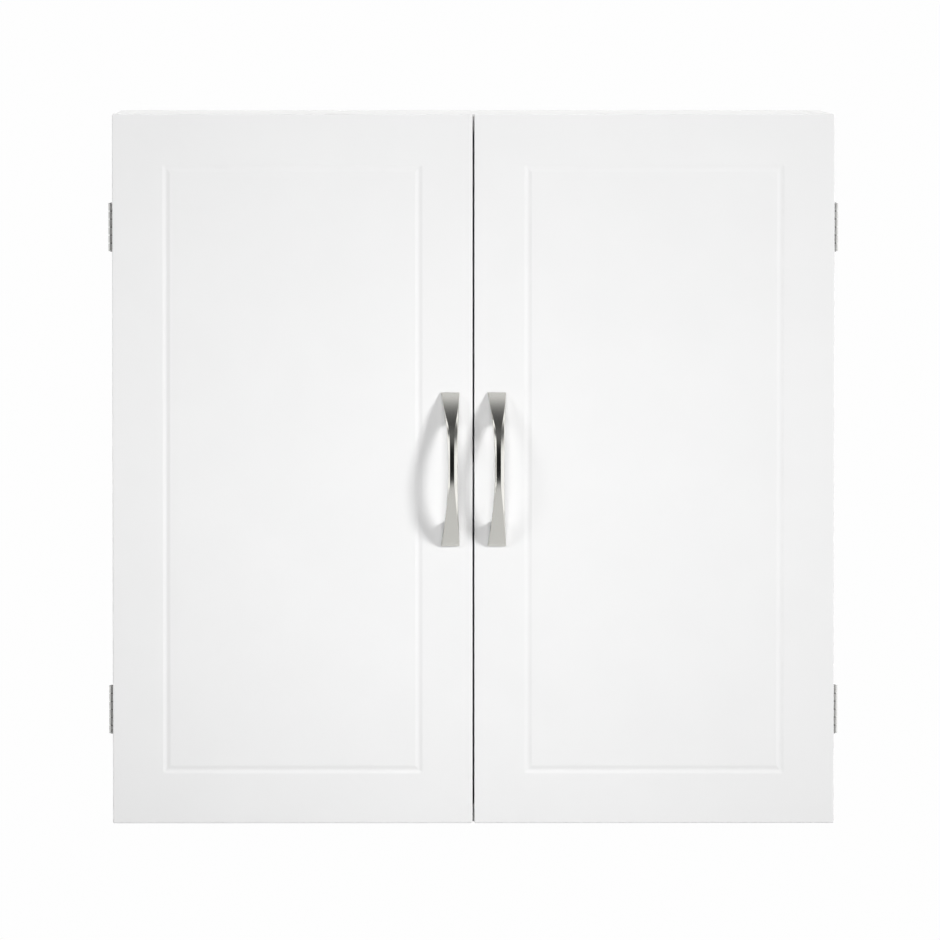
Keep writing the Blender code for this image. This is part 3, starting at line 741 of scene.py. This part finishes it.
class CABINET_OT_handles(bpy.types.Operator):
    """Builds the bow handles and their screws"""

    bl_idname = "cabinet.handles"
    bl_label = "Handles"

    waist_sides = np.array((-1.8, 6.2)) * MM
    end_sides = np.array((-7.9, 7.9)) * MM
    waist_face = np.array((-0.3, 3.2)) * MM
    end_face = np.array((-6.4, 7.4)) * MM
    corner_radii = np.array((0.3, 0.7, 0.22, 0.22, 0.7, 0.3)) * MM
    end_radius = 0.5 * MM
    end_reach = 1.5 * MM

    def bow(self, z, half, end, middle):
        """A circular arc over a chord: its height is middle - radius + sqrt(radius^2 - z^2)."""
        rise = middle - end
        radius = (half * half + rise * rise) / (2 * rise)
        return middle - radius + np.sqrt(radius * radius - z * z)

    def section(self, z, half, end, reach):
        """The six corners of the bow at each z, as (across, off the door).

        The sides and the front face both spread from their waist to their ends by a share of s, which is
        |z| over the half length. The left side spreads by s^2.5 above and s^2 below, the right side by
        s^2. Above, the face spreads by sin(u pi / 2)^1.2 with u from s = 0.5 on; below, by
        u (1.35 - 0.35 u) with u from s = 0.2 on. The ridge between them falls by s^2 from its height at
        mid length to that at the ends, where a quarter circle rounds it all.
        """
        size = sizes()
        s = np.abs(z) / half
        above = np.clip((s - 0.5) / 0.5, 0, 1)
        below = np.clip((s - 0.2) / 0.8, 0, 1)
        face_share = np.where(z > 0, np.sin(above * np.pi / 2) ** 1.2, below * (1.35 - 0.35 * below))
        side_share = np.stack([np.where(z > 0, s**2.5, s**2), s**2], 1)
        past = np.clip(np.abs(z) - (half - self.end_radius), 0, self.end_radius)
        draw = self.end_radius - np.sqrt(self.end_radius**2 - past**2)
        sides = self.waist_sides + (self.end_sides - self.waist_sides) * side_share
        face = self.waist_face + (self.end_face - self.waist_face) * face_share[:, None]
        sides += draw[:, None] * (1, -1)
        face += draw[:, None] * (1, -1)
        top = self.bow(z, half, end, reach) - draw
        inner = half - size.handle_leg
        foot = np.where(np.abs(z) < inner, self.bow(z, half, end, reach) - size.handle_grip, 0.0)
        shoulder = top - size.handle_ridge + (size.handle_ridge - size.handle_end_ridge) * s**2
        across = np.stack([sides[:, 0], sides[:, 0], face[:, 0], face[:, 1], sides[:, 1], sides[:, 1]], 1)
        height = np.stack([foot, shoulder, top, top, shoulder, foot], 1)
        return np.stack([across, height], -1)

    def rounded(self, corners, radii, steps=4):
        """Each corner P becomes (1 - t)^2 A + 2 t (1 - t) P + t^2 B between points A and B at its radius
        along its two edges, with one more point on each edge that keeps it flat."""
        before, after = np.roll(corners, 1, 1) - corners, np.roll(corners, -1, 1) - corners
        long_before = np.linalg.norm(before, axis=-1, keepdims=True)
        long_after = np.linalg.norm(after, axis=-1, keepdims=True)
        near = radii[None, :, None]
        a = before / long_before * np.minimum(near, 0.3 * long_before)
        b = after / long_after * np.minimum(near, 0.3 * long_after)
        t = np.linspace(0, 1, steps + 1)[:, None]
        arc = (1 - t) ** 2 * a[:, :, None] + t**2 * b[:, :, None]
        points = np.concatenate([1.6 * a[:, :, None], arc, 1.6 * b[:, :, None]], 2)
        return (corners[:, :, None] + points).reshape(len(corners), -1, 2)

    def execute(self, context):
        for hand in HANDS:
            node = f"{hand}_handle"
            low, high = box(node)
            middle, half = (low + high) / 2, (high[Z] - low[Z]) / 2
            reach = high[Y] - low[Y]
            ends = half - self.end_radius * (1 - np.sin(np.linspace(0, np.pi / 2, 5)))
            inner = half - sizes().handle_leg
            wall = np.array((inner - 0.3 * MM, inner))
            z = np.unique(np.r_[np.linspace(-ends[0], ends[0], 161), -wall, wall, ends, -ends])
            loops = self.rounded(self.section(z, half, self.end_reach, reach), self.corner_radii)
            grid = np.empty((*loops.shape[:2], 3))
            grid[..., X] = middle[X] + loops[..., 0]
            grid[..., Y] = high[Y] - loops[..., 1]
            grid[..., Z] = middle[Z] + z[:, None]
            bow = shown(f"{node}_casting", [shell(grid)])
            fit(bow, f"{hand}_door", node, slot="satin_nickel", look=satin_nickel)
            for level in ("upper", "lower"):
                screw = f"{node}_{level}_screw"
                point, direction, whole = along(screw, Y, -1)
                rise = 2.2 * MM
                under = point + direction * rise
                screw_sizes = 3.8 * MM, rise, 2 * MM, whole - rise
                pan_head_screw(f"{screw}_turned", under, direction, *screw_sizes, f"{hand}_door", screw)
        return {"FINISHED"}


class CABINET_OT_hinges(bpy.types.Operator):
    """Builds the butt hinges with their pins and screws"""

    bl_idname = "cabinet.hinges"
    bl_label = "Hinges"

    knuckles = 6
    screw_cone = [(2.9 * MM, -0.3 * MM), (2.6 * MM, 0), (1.5 * MM, 1.05 * MM), (1.5 * MM, 3 * MM)]

    def leaf(self, name, hand, facing, low, high, axis, radius):
        """A plate that rolls round the pin by 295 degrees.

        Its section is two concentric arcs, the leaf's thickness apart, that start where
        the plate meets them; every second knuckle is cut out, and each end of a knuckle has a small V groove.
        """
        size = sizes()
        inner = radius - size.leaf_thickness
        inward = 1 if hand == "left" else -1
        reach = (high[X] - axis[X]) if hand == "left" else (axis[X] - low[X])
        turn = np.pi / 2 + np.radians(295) * np.linspace(0, 1, 61)
        arc = np.stack([np.cos(turn), np.sin(turn)], 1)
        ease = 0.8 * MM
        plate = [(ease, inner), (reach, inner), (reach, radius), (ease, radius)]
        loop = np.concatenate([plate, arc * radius, arc[::-1] * inner])
        grid = np.empty((2, len(loop), 3))
        grid[..., X] = axis[X] + inward * loop[:, 0]
        grid[..., Y] = axis[Y] + facing * loop[:, 1]
        grid[0, :, Z], grid[1, :, Z] = low[Z], high[Z]
        made = shown(name, [shell(grid)])
        step = (high[Z] - low[Z]) / self.knuckles
        past = radius + 0.35 * MM
        gaps = []
        for i in range(1 if facing > 0 else 0, self.knuckles, 2):
            start = low[Z] + i * step - (PLAY if i else 2 * MM)
            end = low[Z] + (i + 1) * step + (PLAY if i < self.knuckles - 1 else 2 * MM)
            corner = np.array([past, past, 0])
            gaps.append(block(np.r_[axis[:2], start] - corner, np.r_[axis[:2], end] + corner))
        carve(made, gaps)
        bevel = size.knuckle_chamfer
        wide = bevel + 0.3 * MM
        vee = [(radius - bevel, 0), (radius + 0.3 * MM, -wide), (radius + 0.3 * MM, wide)]
        carve(made, [ringed(vee, np.r_[axis[:2], low[Z] + i * step]) for i in range(self.knuckles + 1)])
        return made

    def execute(self, context):
        for hand in HANDS:
            for level in ("upper", "lower"):
                name = f"{hand}_{level}_hinge"
                pin_low, pin_high = box(f"{name}_pin")
                axis = (pin_low + pin_high) / 2
                for part, facing, body in (("frame_leaf", 1, "carcass"), ("door_leaf", -1, f"{hand}_door")):
                    node = f"{name}_{part}"
                    low, high = box(node)
                    radius = (axis[X] - low[X]) if hand == "left" else (high[X] - axis[X])
                    made = self.leaf(f"{node}_rolled", hand, facing, low, high, axis, radius)
                    screws = [f"{node}_{which}_screw" for which in ("upper", "lower")]
                    cones = []
                    for screw in screws:
                        point, direction, whole = along(screw, Y, facing)
                        cones.append(turned(self.screw_cone, point, direction))
                        screw_sizes = 2.2 * MM, 1.2 * MM, 1 * MM, whole
                        flat_head_screw(f"{screw}_turned", point, direction, *screw_sizes, body, screw)
                    carve(made, cones)
                    fit(made, body, node, slot="plated_steel", look=plated_steel)
                pin_radius = (pin_high - pin_low)[X] / 2
                dome = pin_radius * np.array([(0.35, 0), (0.7, 0.08), (0.92, 0.24), (1, 0.4)])
                whole = (pin_high - pin_low)[Z]
                profile = np.concatenate([dome, (dome * (1, -1) + (0, whole))[::-1]])
                pin = shown(f"{name}_pin_turned", [turned(profile, np.r_[axis[:2], pin_low[Z]], (0, 0, 1))])
                # The pin's dark grey is painted shade that darkens the gaps between the knuckles
                fit(pin, body_of(f"{name}_pin"), f"{name}_pin", slot="plated_steel", look=drawn_steel)
        return {"FINISHED"}


class CABINET_OT_fixings(bpy.types.Operator):
    """Builds the shelf pins and the connecting screws"""

    bl_idname = "cabinet.fixings"
    bl_label = "Shelf pins and connecting screws"

    def shelf_pin(self, node, inward):
        """A peg in the side, a collar against its face and a head that carries the shelf."""
        point, direction, whole = along(node, X, inward)
        peg, collar, collar_radius, head, radius = 9.3 * MM, 1.0 * MM, 4 * MM, 3.0 * MM, 2.4 * MM
        round_ = 0.3 * MM
        profile = [
            (radius * 0.65, 0),
            (radius, radius * 0.35),
            (radius, peg),
            (collar_radius - round_ / 2, peg),
            (collar_radius, peg + round_ / 2),
            (collar_radius, peg + collar - round_),
            (collar_radius - round_, peg + collar),
            (head, peg + collar),
            (head, whole - 2 * round_),
            (head - 0.6 * round_, whole - 0.6 * round_),
            (head - 2 * round_, whole),
        ]
        pin = shown(f"{node}_turned", [turned(profile, point, direction)])
        fit(pin, "carcass", node, slot="plated_steel", look=plated_steel)

    def confirmat(self, node, inward):
        """A flat head, a cone to the neck, the thicker neck, the shank and its tip, with a hexagon socket."""
        point, direction, whole = along(node, X, inward)
        head, neck, shank, rim = 4.8 * MM, 3.4 * MM, 3.0 * MM, 0.3 * MM
        profile = [
            (head - rim, 0),
            (head, rim),
            (head, 1 * MM),
            (neck, 3 * MM),
            (neck, 14.5 * MM),
            (shank, 15 * MM),
            (shank, whole - 3 * MM),
            (shank * 0.2, whole),
        ]
        socket = [(2.45 * MM, -1 * MM), (2.3 * MM, 0), (2.25 * MM, 2.6 * MM)]
        recess = turned(socket, point, direction, 6)
        socketed(f"{node}_turned", profile, point, direction, recess, "carcass", node)

    def execute(self, context):
        for hand, inward in zip(HANDS, (1, -1)):
            for depth in ("front", "rear"):
                self.shelf_pin(f"{hand}_{depth}_shelf_pin", inward)
                for level in ("top", "bottom"):
                    self.confirmat(f"{hand}_{level}_{depth}_confirmat", inward)
        return {"FINISHED"}


class CABINET_OT_catches(bpy.types.Operator):
    """Builds the magnetic catches and their striker plates"""

    bl_idname = "cabinet.catches"
    bl_label = "Magnetic catches"

    def execute(self, context):
        for hand in HANDS:
            node = f"{hand}_magnet_catch"
            low, high = box(node)
            middle = (low + high) / 2
            body_half, ear_height = 15 * MM, 3 * MM
            ear = (high[X] - low[X]) / 2
            drop = high[Z] - low[Z]
            outline = np.array([(ear, 0), (ear, ear_height), (body_half, ear_height), (body_half, drop)])
            outline = np.concatenate([outline, (outline * (-1, 1))[::-1]])
            grid = np.empty((2, len(outline), 3))
            grid[..., X] = middle[X] + outline[:, 0]
            grid[..., Z] = high[Z] - outline[:, 1]
            grid[0, :, Y], grid[1, :, Y] = low[Y], high[Y]
            housing = shown(f"{node}_housing", [shell(grid)])
            mouth_low = np.array([middle[X] - 12.5 * MM, low[Y] - 1 * MM, low[Z] + 2.2 * MM])
            mouth_high = np.array([middle[X] + 12.5 * MM, low[Y] + 12 * MM, low[Z] + 9.2 * MM])
            screws = [middle[X] + way * (body_half + ear) / 2 for way in (-1, 1)]
            holes = [
                turned([(1.8 * MM, -1 * MM), (1.8 * MM, 6 * MM)], (x, middle[Y], high[Z]), (0, 0, -1), 24)
                for x in screws
            ]
            carve(housing, [block(mouth_low, mouth_high), *holes])
            soften = housing.modifiers.new("soft edges", "BEVEL")
            soften.width, soften.segments, soften.limit_method = 0.3 * MM, 2, "ANGLE"
            fit(housing, "carcass", node, slot="white_plastic", look=moulded_abs)
            plates = []
            for foot in (mouth_low[Z] + 0.3 * MM, mouth_high[Z] - 1.5 * MM):
                start = np.array([mouth_low[X] + 0.4 * MM, low[Y] + 0.05 * MM, foot])
                end = np.array([mouth_high[X] - 0.4 * MM, mouth_high[Y] - 0.1 * MM, foot + 1.2 * MM])
                plates.append(plank(start, end, Z, 0.15 * MM, 0.4 * MM))
            poles = shown(f"{hand}_catch_pole_plates", plates)
            fit(poles, "carcass", slot="plated_steel", look=plated_steel)
            start = np.array([mouth_low[X] + 1 * MM, low[Y] + 0.8 * MM, mouth_low[Z] + 1.6 * MM])
            end = np.array([mouth_high[X] - 1 * MM, mouth_high[Y] - 0.4 * MM, mouth_high[Z] - 1.6 * MM])
            magnet = shown(f"{hand}_catch_magnet", [plank(start, end, Z, 0.2 * MM, 0.4 * MM)])
            fit(magnet, "carcass", slot="white_plastic", look=ferrite)
            for side, x in zip(("left", "right"), screws):
                point = (x, middle[Y], high[Z] - ear_height - 0.05 * MM)
                screw_sizes = 3.2 * MM, 1.8 * MM, 1.4 * MM, 12 * MM
                pan_head_screw(f"{hand}_catch_{side}_screw", point, (0, 0, 1), *screw_sizes, "carcass")
            self.striker(hand)
        return {"FINISHED"}

    def striker(self, hand):
        """The steel plate on the door, with a countersunk screw near each end."""
        node = f"{hand}_striker_plate"
        low, high = box(node)
        middle = (low + high) / 2
        rows = both_edges((high - low)[Y], 0.15 * MM, 2 * MM)
        plate = shown(f"{node}_pressed", [slab(low, high, Y, rows, 0.5 * MM)])
        places = [(middle[X] + way * 13 * MM, high[Y], middle[Z]) for way in (-1, 1)]
        cone = [(2.6 * MM, -0.3 * MM), (2.3 * MM, 0), (1.4 * MM, 0.9 * MM), (1.4 * MM, 2 * MM)]
        carve(plate, [turned(cone, place, (0, -1, 0)) for place in places])
        fit(plate, f"{hand}_door", node, slot="plated_steel", look=plated_steel)
        for side, place in zip(("left", "right"), places):
            point = np.array(place) - (0, 0.05 * MM, 0)
            screw_sizes = 2.1 * MM, 1.2 * MM, 0.9 * MM, 9 * MM
            flat_head_screw(f"{hand}_striker_{side}_screw", point, (0, -1, 0), *screw_sizes, f"{hand}_door")


class CABINET_OT_studio(bpy.types.Operator):
    """Sets up the floor, the lights and the camera"""

    bl_idname = "cabinet.studio"
    bl_label = "Studio"

    def lamp(self, name, watts, width, height, azimuth, elevation, distance, target):
        """A soft rectangle of light that looks at the target from that side, unseen itself."""
        data = bpy.data.lights.new(name, "AREA")
        data.shape, data.size, data.size_y, data.energy = "RECTANGLE", width, height, watts
        made = bpy.data.objects.new(name, data)
        bpy.context.scene.collection.objects.link(made)
        turn, rise = math.radians(azimuth), math.radians(elevation)
        away = np.array([math.sin(turn) * math.cos(rise), -math.cos(turn) * math.cos(rise), math.sin(rise)])
        made.location = target + away * distance
        made.rotation_euler = (math.pi / 2 - rise, 0, turn)
        made.visible_camera = made.visible_glossy = False

    def world(self, studio):
        """White to the camera. Other rays see a white studio with a dark end behind the camera.

        Its brightness follows y, the cosine of the angle from the line that the doors face along: dark
        within 21 degrees of it, a faint glow to 60 degrees, then a ramp up to a pale grey at 81 degrees. A
        grey floor takes over well below the horizon. By x, a dark flag stands on the left, and beyond it
        and on the right are screens brighter than the rest. Matt faces see all this much dimmer than
        glossy ones.
        """
        world = bpy.data.worlds.new("white studio")
        world.use_nodes = True
        tree = world.node_tree
        tree.nodes.clear()
        direction = add(tree, "ShaderNodeTexCoord").outputs["Generated"]
        apart = add(tree, "ShaderNodeSeparateXYZ", {"Vector": direction})

        def graded(axis, stops):
            """A grey that follows one component of the direction, with stops at (component, grey)."""
            reach = {"Value": apart.outputs[axis], "From Min": -1.0, "From Max": 1.0}
            level = add(tree, "ShaderNodeMapRange", reach)
            ramp = add(tree, "ShaderNodeValToRGB", {"Fac": level.outputs[0]})
            elements = ramp.color_ramp.elements
            while len(elements) < len(stops):
                elements.new(0.5)
            for element, (component, value) in zip(elements, stops):
                element.position = (1 + component) / 2
                element.color = (value, value, value, 1.0)
            return ramp.outputs[0]

        near = ((0, 0.01), (21, 0.01), (29, 0.12), (38, 0.12), (46, 0.06))  # degrees off the line, grey
        far = ((55, 0.08), (63, 0.14), (70, 0.26), (81, 0.62))
        away = graded("Y", [(-math.cos(math.radians(angle)), value) for angle, value in near + far])
        horizon = {"Value": apart.outputs["Z"], "From Min": -0.25, "From Max": -0.32}
        below = add(tree, "ShaderNodeMapRange", horizon)
        ground = (0.57, 0.57, 0.57, 1.0)
        flag = graded("X", [(-0.8, 1.0), (-0.76, 0.25), (-0.42, 0.25), (-0.32, 1.0)])
        screens = graded("X", [(-0.88, 1.0), (-0.8, 0.0), (0.68, 0.0), (0.78, 1.0)])
        seen_colour = away
        layers = ("MIX", below.outputs[0], ground), ("MULTIPLY", 1.0, flag), ("LIGHTEN", 1.0, screens)
        for kind, factor, other in layers:
            inputs = {"Factor": factor, "A": seen_colour, "B": other}
            mixed = add(tree, "ShaderNodeMix", inputs, data_type="RGBA", blend_type=kind)
            seen_colour = mixed.outputs[MIXED_COLOUR]
        rays = add(tree, "ShaderNodeLightPath")
        by_ray = {"Value": rays.outputs["Is Glossy Ray"], "To Min": studio.ambient, "To Max": studio.gloss}
        strength = add(tree, "ShaderNodeMapRange", by_ray)
        lit = add(tree, "ShaderNodeBackground", {"Color": seen_colour, "Strength": strength.outputs[0]})
        white = add(tree, "ShaderNodeBackground", {"Color": (1, 1, 1, 1), "Strength": 0.99})
        seen = rays.outputs["Is Camera Ray"]
        mixed = add(tree, "ShaderNodeMixShader", {0: seen, 1: lit.outputs[0], 2: white.outputs[0]})
        add(tree, "ShaderNodeOutputWorld", {"Surface": mixed.outputs[0]})
        bpy.context.scene.world = world

    def execute(self, context):
        scene, studio = context.scene, context.scene.cabinet_studio
        scene.view_settings.view_transform = "Standard"
        low, high = np.array(CAD_BOX[0]), np.array(CAD_BOX[1])
        level = low[Z] - studio.floor_drop
        angle = np.linspace(0, 2 * np.pi, 96, endpoint=False)
        rim = np.stack([np.cos(angle), np.sin(angle), 0 * angle], 1) * studio.floor_radius
        floor = shown("studio_floor", [shell(np.array([0, 0, level]) + np.stack([rim, rim - (0, 0, 0.02)]))])
        dress(floor, finished(matt_floor))
        floor.visible_glossy = floor.visible_diffuse = False
        door_low, door_high = box("left_door", "right_door")
        front = (door_low + door_high) / 2
        front[Y] = door_low[Y]
        middle = (low + high) / 2
        top = middle * (1, 1, 0) + high * (0, 0, 1)
        self.lamp("key", studio.key_power, 0.8, 0.8, 48, 23.5, 4.5, front)
        self.lamp("fill", studio.fill_power, 0.5, 0.5, -48, 20, 2.0, front)
        self.lamp("front", studio.front_power, 0.4, 0.4, 0, -6, 0.95, front)
        for name, azimuth, elevation in (("rear", 180, 12), ("rear_left", -112, 10), ("rear_right", 112, 10)):
            self.lamp(name, studio.rear_power, 1.2, 1.2, azimuth, elevation, 2.6, middle)
        self.lamp("top", studio.top_power, 0.8, 0.5, 180, 80, 1.6, top)
        self.world(studio)
        camera = bpy.data.cameras.new("camera")
        camera.lens = studio.lens
        camera.clip_start, camera.clip_end = 0.1, 100
        made = bpy.data.objects.new("camera", camera)
        scene.collection.objects.link(made)
        made.location = (-0.0506, -8.606, 0.147)
        made.rotation_euler = (math.pi / 2 - 0.0472, 0, -0.00575)
        scene.camera = made
        return {"FINISHED"}


OPERATORS = (
    CABINET_OT_carcass,
    CABINET_OT_doors,
    CABINET_OT_handles,
    CABINET_OT_hinges,
    CABINET_OT_fixings,
    CABINET_OT_catches,
    CABINET_OT_studio,
)


class CABINET_PT_panel(bpy.types.Panel):
    """Lists the cabinet's sizes, colours, lights and the buttons that build it"""

    bl_idname = "CABINET_PT_panel"
    bl_label = "Wall cabinet"
    bl_space_type = "VIEW_3D"
    bl_region_type = "UI"
    bl_category = "Cabinet"

    def draw(self, context):
        for group_name in GROUPS:
            group, part = getattr(context.scene, group_name), self.layout.box()
            part.label(text=group_name.removeprefix("cabinet_").capitalize())
            for name in type(group).__annotations__:
                part.prop(group, name)
        for operator in OPERATORS:
            self.layout.operator(operator.bl_idname)


GROUPS = {"cabinet_sizes": CabinetSizes, "cabinet_colours": CabinetColours, "cabinet_studio": CabinetStudio}
CLASSES = (*GROUPS.values(), *OPERATORS, CABINET_PT_panel)


def register():
    for made in CLASSES:
        bpy.utils.register_class(made)
    for name, group in GROUPS.items():
        setattr(bpy.types.Scene, name, PointerProperty(type=group))


def unregister():
    for name in GROUPS:
        delattr(bpy.types.Scene, name)
    for made in reversed(CLASSES):
        bpy.utils.unregister_class(made)


def main():
    register()
    bpy.ops.cabinet.carcass()
    bpy.ops.cabinet.doors()
    bpy.ops.cabinet.handles()
    bpy.ops.cabinet.hinges()
    bpy.ops.cabinet.fixings()
    bpy.ops.cabinet.catches()
    bpy.ops.cabinet.studio()


if __name__ == "__main__":
    main()
